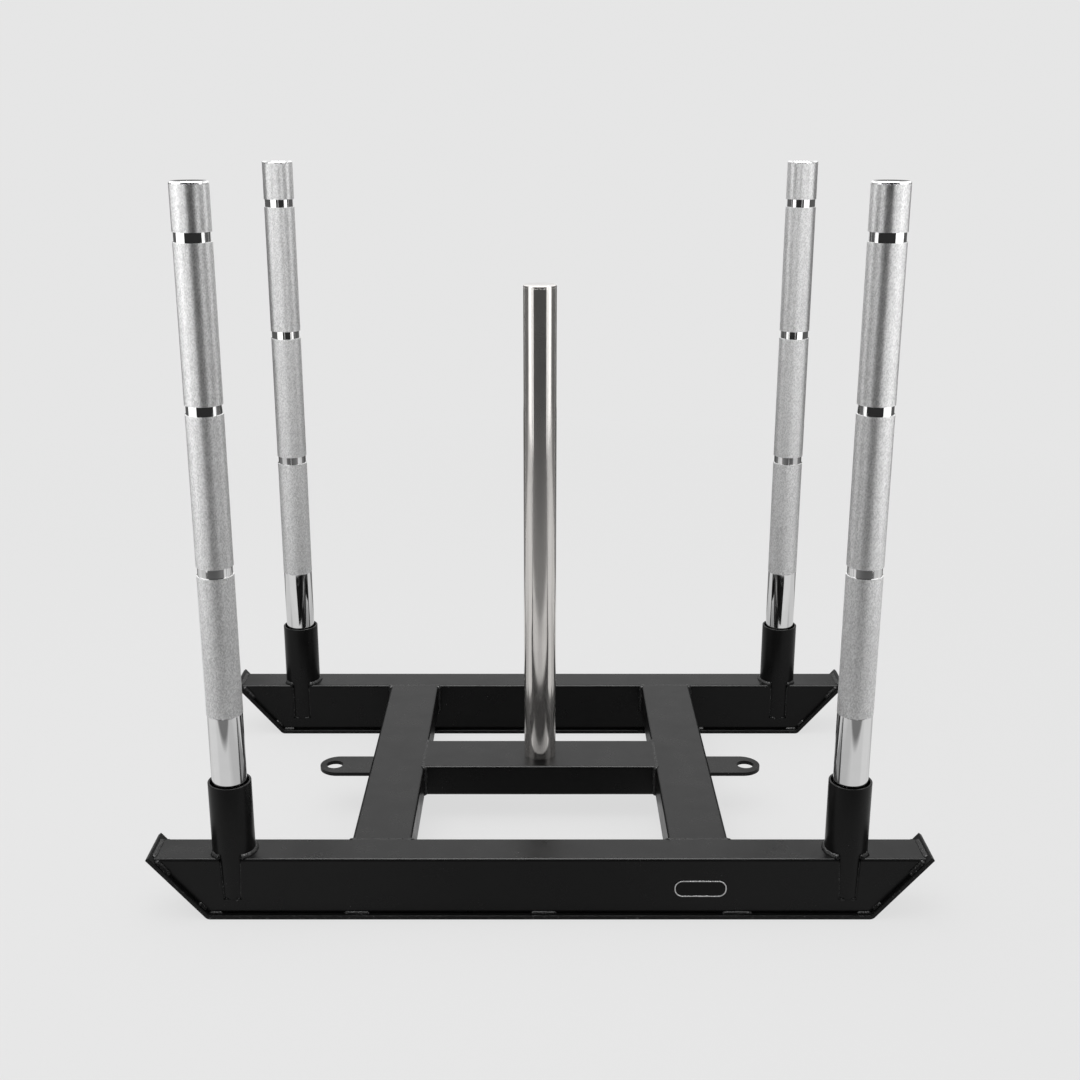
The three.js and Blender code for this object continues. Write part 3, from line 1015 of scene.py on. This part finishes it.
def weld_slots(end, side, seed):
    """Beads that close the slots round a socket: both their sides and parts of their feet."""
    low, high, axis, radius = round_box(f"{end}_{side}_socket")
    rail_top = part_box(f"{side}_rail")[1].z
    inboard = -ENDS[end]
    bottom = low.z - SOCKET_CLEARANCE

    def station(across, height, direction, face):
        """A place on the socket, a distance inboard of its axis, its bead lying across a direction."""
        depth = math.sqrt(radius ** 2 - across ** 2)
        root = Vector((axis.x + inboard * across, axis.y + face * depth, height))
        outward = Vector((0, face, 0))
        return Station(root, direction, outward, SLOT_BEAD_HALF, SLOT_BEAD_RISE, SLOT_BEAD_LIFT)

    level = Vector((1, 0, 0))
    top = rail_top - TUBE_CORNER
    for word, face in FACES.items():
        foot = slot_foot_half(side, face)
        edges = [(slot_half(foot, z, bottom, rail_top), z) for z in (bottom, top)]
        runs = {
            "inboard": [station(half, z, level, face) for half, z in edges],
            "outboard": [station(-half, z, level, face) for half, z in edges],
        }
        if face == SIDES[side]:
            sunk = {"half_width": SLOT_SUNK_HALF, "lift": SLOT_SUNK_LIFT}
            runs["outboard"] = [place._replace(**sunk) for place in runs["outboard"]]
        for name, shares in SLOT_FOOT_SHARES.items():
            runs[name] = [station(share * foot, bottom, UP, face) for share in shares]
        for name, stations in runs.items():
            seed += SLOT_BEAD_SEED
            add_bead(f"{end}_{side}_slot_weld_{word}_{name}", stations, seed)


def weld_shoe(side, seed):
    """Beads between a rail and its shoe: along both ledges, and over the rail's top at each ramp."""
    rail_low, rail_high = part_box(f"{side}_rail")
    for word, way in FACES.items():
        face = rail_high.y if way > 0 else rail_low.y
        ledge = Vector((0, way, 0))
        for number, (first, last) in enumerate(STITCHES):
            roots = [Vector((x * MILLIMETRE, face, rail_low.z)) for x in (first, last)]
            stations = [fillet(root, UP, ledge, SHOE_WELD_LEG) for root in roots]
            add_bead(f"{side}_shoe_{word}_stitch_{number}", stations, seed + number)
        for end, sign in ENDS.items():
            weld_ramp_ledge(f"{side}_shoe_{word}_{end}", sign, face, ledge, seed)
    for end, sign in ENDS.items():
        up_ramp = Vector((sign * math.cos(RAMP_ANGLE), 0, math.sin(RAMP_ANGLE)))
        stations = []
        for y in (rail_low.y + TUBE_CORNER, rail_high.y - TUBE_CORNER):
            root = Vector((sign * rail_high.x, y, rail_high.z))
            stations.append(fillet(root, up_ramp, Vector((-sign, 0, 0)), RAMP_TOP_WELD_LEG))
        add_bead(f"{side}_shoe_{end}_top_weld", stations, seed + sign)


def weld_ramp_ledge(name, sign, face, ledge, seed):
    """Two beads down a ramp's ledge and one on the flat beside the bend."""
    rail_low, rail_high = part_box("left_rail")
    square_to_ramp = Vector((-sign * math.sin(RAMP_ANGLE), 0, math.cos(RAMP_ANGLE)))
    for number, (upper, lower, leg) in enumerate(RAMP_BEADS):
        stations = []
        for drop in (upper * MILLIMETRE, lower * MILLIMETRE):
            x = rail_high.x - drop / math.tan(RAMP_ANGLE)
            root = Vector((sign * x, face, rail_high.z - drop))
            stations.append(fillet(root, square_to_ramp, ledge, leg * MILLIMETRE))
        add_bead(f"{name}_ramp_weld_{number}", stations, seed + number)
    first, last = (sign * x * MILLIMETRE for x in BEND_BEAD)
    stations = [fillet(Vector((x, face, rail_low.z)), UP, ledge, SHOE_WELD_LEG) for x in (first, last)]
    add_bead(f"{name}_bend_weld", stations, seed)


def weld_lug(end, seed):
    """A bead under a tow lug, where it meets the crossmember."""
    low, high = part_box(f"{end}_tow_lug")
    sign = ENDS[end]
    root_x = low.x if sign > 0 else high.x
    outward = Vector((sign, 0, 0))
    stations = [fillet(Vector((root_x, y, low.z)), -UP, outward, LUG_WELD_LEG) for y in (low.y, high.y)]
    add_bead(f"{end}_tow_lug_weld", stations, seed)


def weld_level_tube(node, along, words, seed, flush_below=False):
    width, height, place = level_tube(node, along)
    for word, sign in words.items():
        inward = Vector((0, 0, 0))
        inward[along] = -sign
        end_place = partial(place, 1 if sign > 0 else 0)
        stations = tube_end_stations(width, height, end_place, inward, flush_below)
        add_bead(f"{node}_{word}_weld", stations, seed + sign, closed=True)


def tube_end_stations(width, height, place, inward, flush_below):
    """Stations round a tube's end, on the face that it butts against. inward points down the tube.

    The bead lies flat where the tube is flush with its neighbour: at its top, and below if flush_below.
    """
    stations = []
    outline = rounded_outline(width, height, TUBE_CORNER)
    directions = rounded_outline(2, 2, 1)
    for (u, v), (outward_u, outward_v) in zip(outline, directions):
        root = place(u, v)
        normal = (place(u + outward_u, v + outward_v) - root).normalized()
        facing = abs(normal.z) if flush_below else max(normal.z, 0)
        flush = min(facing, 1) ** 2
        across = (inward - normal).normalized().lerp(inward, flush).normalized()
        out = (inward + normal).normalized().lerp(normal, flush).normalized()
        corner = TUBE_WELD_LEG / math.sqrt(2) * (1 - flush)
        half_width = corner + FLUSH_WELD_HALF * flush
        rise = FILLET_RISE_SHARE * TUBE_WELD_LEG * (1 - flush) + FLUSH_WELD_RISE * flush
        lift = corner - FLUSH_WELD_SINK * flush
        root += inward * (-FLUSH_WELD_SETBACK * flush)
        stations.append(Station(root, across, out, half_width, rise, lift))
    stations.append(stations[0])
    return stations


# Studio, in metres. The floor fades into the background between two distances
BACKGROUND = 0.79
FLOOR_COLOUR = 0.74
FLOOR_CLOUDS = 0.01
FLOOR_RADIUS = 9.0
FLOOR_DROP = 0.5 * MILLIMETRE
FADE_START = 0.9
FADE_END = 3.0
NEAR_GLOW = 0.85

# Glowing cards that show in reflections alone. A softbox stands between two places (x, y). A wall has its
# ends in degrees from the camera's side, its lower and upper height, and its glow at each
CARD_RADIUS = 3.2
WALL_STEPS = 24
SOFTBOX_BOTTOM = 0.36
SOFTBOX_TOP = 2.4
SOFTBOX_FULL_HEIGHT = 1.0
SOFTBOX_GLOWS = (1.4, 1.85)
SOFTBOXES = {
    "left_softbox": ((-1.36, -0.14), (-0.72, -0.71)),
    "right_softbox": ((0.72, -0.71), (1.42, -0.18)),
}
WALLS = {
    "camera_side_wall": ((-75, 75), (0.0, 5.0), (0.03, 0.03)),
    "left_wall": ((-160, -75), (0.0, 1.3), (0.12, 0.12)),
    "right_wall": ((75, 160), (0.0, 1.3), (0.12, 0.12)),
    "high_back_wall": ((100, 260), (1.3, 3.3), (1.1, 1.9)),
}
CEILING_HEIGHT = 3.3
CEILING_CORNERS = ((-1.3, -1.1), (1.3, -1.1), (1.3, 1.2), (-1.3, 1.2))
CEILING_GLOW = 12.0

# The card on the floor. Distances are from a line along X and grow slower past its ends. The card veils the
# floor by shares that fall off aside of the post, under the sled and beside it, and fully past its edge.
# Its veil under and beside the sled is painted shade on the floor that metal reflects
LINE_HALF = 0.45
PAST_END_SHARE = 0.5
POST_ASIDE = (0.1, 0.3)
SLED_EDGE = (0.28, 0.36)
UNDER_SLED_SHARES = (0.85, 0.45)
BESIDE_SLED_SHARES = (0.42, 0.2)
VEIL_EDGE = (0.86, 0.94)
FAR_GLOW = 0.30
FAR_POWER = -1.6
MOST_FAR_GLOW = 0.20
LANE_GLOW = 0.62
LANE_START = math.radians(50)
LANE_END = math.radians(92)
LANE_BLUR = math.radians(5)

# Lamp and camera, its lens in millimetres
LAMP_SIZE = 3.0
LAMP_POWER = 60.0
LAMP_PLACE = (-0.8, -0.4, 3.6)
LENS = 48.258
CAMERA_PLACE = (0, -2.1402, 1.0995)
CAMERA_TILT = math.radians(73.142)


def make_stage():
    """Pale floor that fades into the background, plain world light, and a studio that metal reflects."""
    make_floor()
    make_world()
    for name, places in SOFTBOXES.items():
        make_softbox(name, *places)
    for name, sizes in WALLS.items():
        make_wall(name, *sizes)
    make_ceiling()
    make_far_floor()
    make_lamp()


def make_floor():
    nodes = Nodes("pale_floor")
    x, y, _ = nodes.parts()
    fade = nodes.span(nodes.distance(x, y), FADE_START, FADE_END, NEAR_GLOW, 1.0)
    cloud = nodes.noise(scale=3.0, detail=3.0)
    tones = [grey(FLOOR_COLOUR + change) for change in (-FLOOR_CLOUDS, FLOOR_CLOUDS)]
    matt = nodes.new("ShaderNodeBsdfDiffuse", Color=nodes.blend(cloud, *tones))
    glow = nodes.new("ShaderNodeEmission", Color=grey(BACKGROUND))
    nodes.mixed(nodes.times(fade, nodes.seen()), matt, glow)
    floor = panel([(x, y, -FLOOR_DROP) for x, y in circle(FLOOR_RADIUS)])
    floor.piece("studio_floor", [nodes.material])


def make_world():
    world = bpy.data.worlds.new("pale_studio")
    world.use_nodes = True
    world.node_tree.nodes["Background"].inputs["Color"].default_value = grey(BACKGROUND)
    bpy.context.scene.world = world


def glowing(name, heights, glows):
    """A material that gives its own light, its brightness graded between two heights."""
    nodes = Nodes(name)
    height = nodes.parts()[2]
    nodes.surface(nodes.new("ShaderNodeEmission", Strength=nodes.span(height, *heights, *glows)))
    return nodes.material


def add_card(shape, finish):
    """A piece that shows in reflections alone, with its finish's name."""
    card = shape.piece(finish.name, [finish])
    card.visible_camera = False
    card.visible_diffuse = False
    card.visible_shadow = False


def make_softbox(name, first, last):
    """An upright flat panel between two places, brighter towards its top."""
    bottom = [(*place, SOFTBOX_BOTTOM) for place in (first, last)]
    top = [(*place, SOFTBOX_TOP) for place in (last, first)]
    heights = (SOFTBOX_BOTTOM, SOFTBOX_FULL_HEIGHT)
    add_card(panel(bottom + top), glowing(name, heights, SOFTBOX_GLOWS))


def make_wall(name, ends, heights, glows):
    shape = Shape()
    first, last = ends
    line = arc((0, 0), CARD_RADIUS, math.radians(first - 90), math.radians(last - first), WALL_STEPS)
    lower, upper = (shape.ring([(x, y, z) for x, y in line]) for z in heights)
    for i in range(WALL_STEPS):
        shape.face((lower[i], lower[i + 1], upper[i + 1], upper[i]))
    add_card(shape, glowing(name, heights, glows))


def make_ceiling():
    """A panel overhead that draws a thin light line along the frame's upper edges."""
    corners = [(x, y, CEILING_HEIGHT) for x, y in CEILING_CORNERS]
    add_card(panel(corners), glowing("overhead_panel", (0, CEILING_HEIGHT), [CEILING_GLOW] * 2))


def make_far_floor():
    """The floor as metal reflects it: ever darker away from the sled, but for a pale lane at each side."""
    nodes = Nodes("far_floor")
    x, y, _ = nodes.parts()
    aside = nodes.maths("ABSOLUTE", x)
    past_end = nodes.maths("MAXIMUM", nodes.maths("SUBTRACT", aside, LINE_HALF), 0.0)
    reach = nodes.distance(nodes.times(past_end, PAST_END_SHARE), y)
    bearing = nodes.maths("ABSOLUTE", nodes.maths("ARCTAN2", x, nodes.times(y, -1.0)))
    lane = nodes.times(
        nodes.span(bearing, LANE_START - LANE_BLUR, LANE_START + LANE_BLUR),
        nodes.span(bearing, LANE_END - LANE_BLUR, LANE_END + LANE_BLUR, 1.0, 0.0),
    )
    fading = nodes.times(nodes.maths("POWER", reach, FAR_POWER), FAR_GLOW)
    dark = nodes.maths("MINIMUM", fading, MOST_FAR_GLOW)
    strength = nodes.maths("MAXIMUM", dark, nodes.times(lane, LANE_GLOW))
    glow = nodes.new("ShaderNodeEmission", Strength=strength)
    clear = nodes.new("ShaderNodeBsdfTransparent")
    # Painted shade: under and beside the sled, most round the post, the card darkens the floor that metal
    # reflects.
    veils = [nodes.span(aside, *POST_ASIDE, *shares) for shares in (UNDER_SLED_SHARES, BESIDE_SLED_SHARES)]
    veil = nodes.span(reach, *SLED_EDGE, *veils)
    nodes.mixed(nodes.maths("MAXIMUM", veil, nodes.span(reach, *VEIL_EDGE)), clear, glow)
    add_card(panel([(x, y, MILLIMETRE) for x, y in circle(CARD_RADIUS)]), nodes.material)


def make_lamp():
    """One broad lamp overhead, for a soft shadow under the sled."""
    data = bpy.data.lights.new("overhead_softbox", "AREA")
    data.size = LAMP_SIZE
    data.energy = LAMP_POWER
    lamp = add_object("overhead_softbox", data)
    lamp.location = LAMP_PLACE
    lamp.rotation_euler = (-lamp.location).to_track_quat("-Z", "Y").to_euler()
    lamp.visible_camera = False
    lamp.visible_glossy = False


def make_camera():
    data = bpy.data.cameras.new("photo_camera")
    data.lens = LENS
    camera = add_object("photo_camera", data)
    camera.location = CAMERA_PLACE
    camera.rotation_euler = (CAMERA_TILT, 0, 0)
    bpy.context.scene.camera = camera


for side in SIDES:
    make_rail(side)
    make_shoe(side)
for end in ENDS:
    make_level_tube(f"{end}_crossmember", ALONG_Y)
    make_lug(end)
make_crosspiece()
for end in ENDS:
    for side in SIDES:
        make_socket(end, side)
        make_pole(end, side)
make_post()
make_blank_plate()

for number, end in enumerate(ENDS):
    end_seed = END_SEED * number
    for side, sign in SIDES.items():
        weld_socket(end, side, end_seed + sign)
        weld_slots(end, side, end_seed + SLOT_SEED * sign)
    weld_level_tube(f"{end}_crossmember", ALONG_Y, SIDES, end_seed + CROSSMEMBER_SEED)
    weld_lug(end, end_seed + LUG_SEED)
for side, sign in SIDES.items():
    weld_shoe(side, SHOE_SEED * sign)
weld_level_tube("centre_crosspiece", ALONG_X, ENDS, CROSSPIECE_SEED, flush_below=True)

for node in ("weight_post_plug", "weight_post_bolt", "weight_post_washer"):
    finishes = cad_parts[node].data.materials
    finishes.clear()
    finishes.append(zinc_plating)

make_stage()
make_camera()
bpy.context.scene.view_settings.view_transform = "Standard"
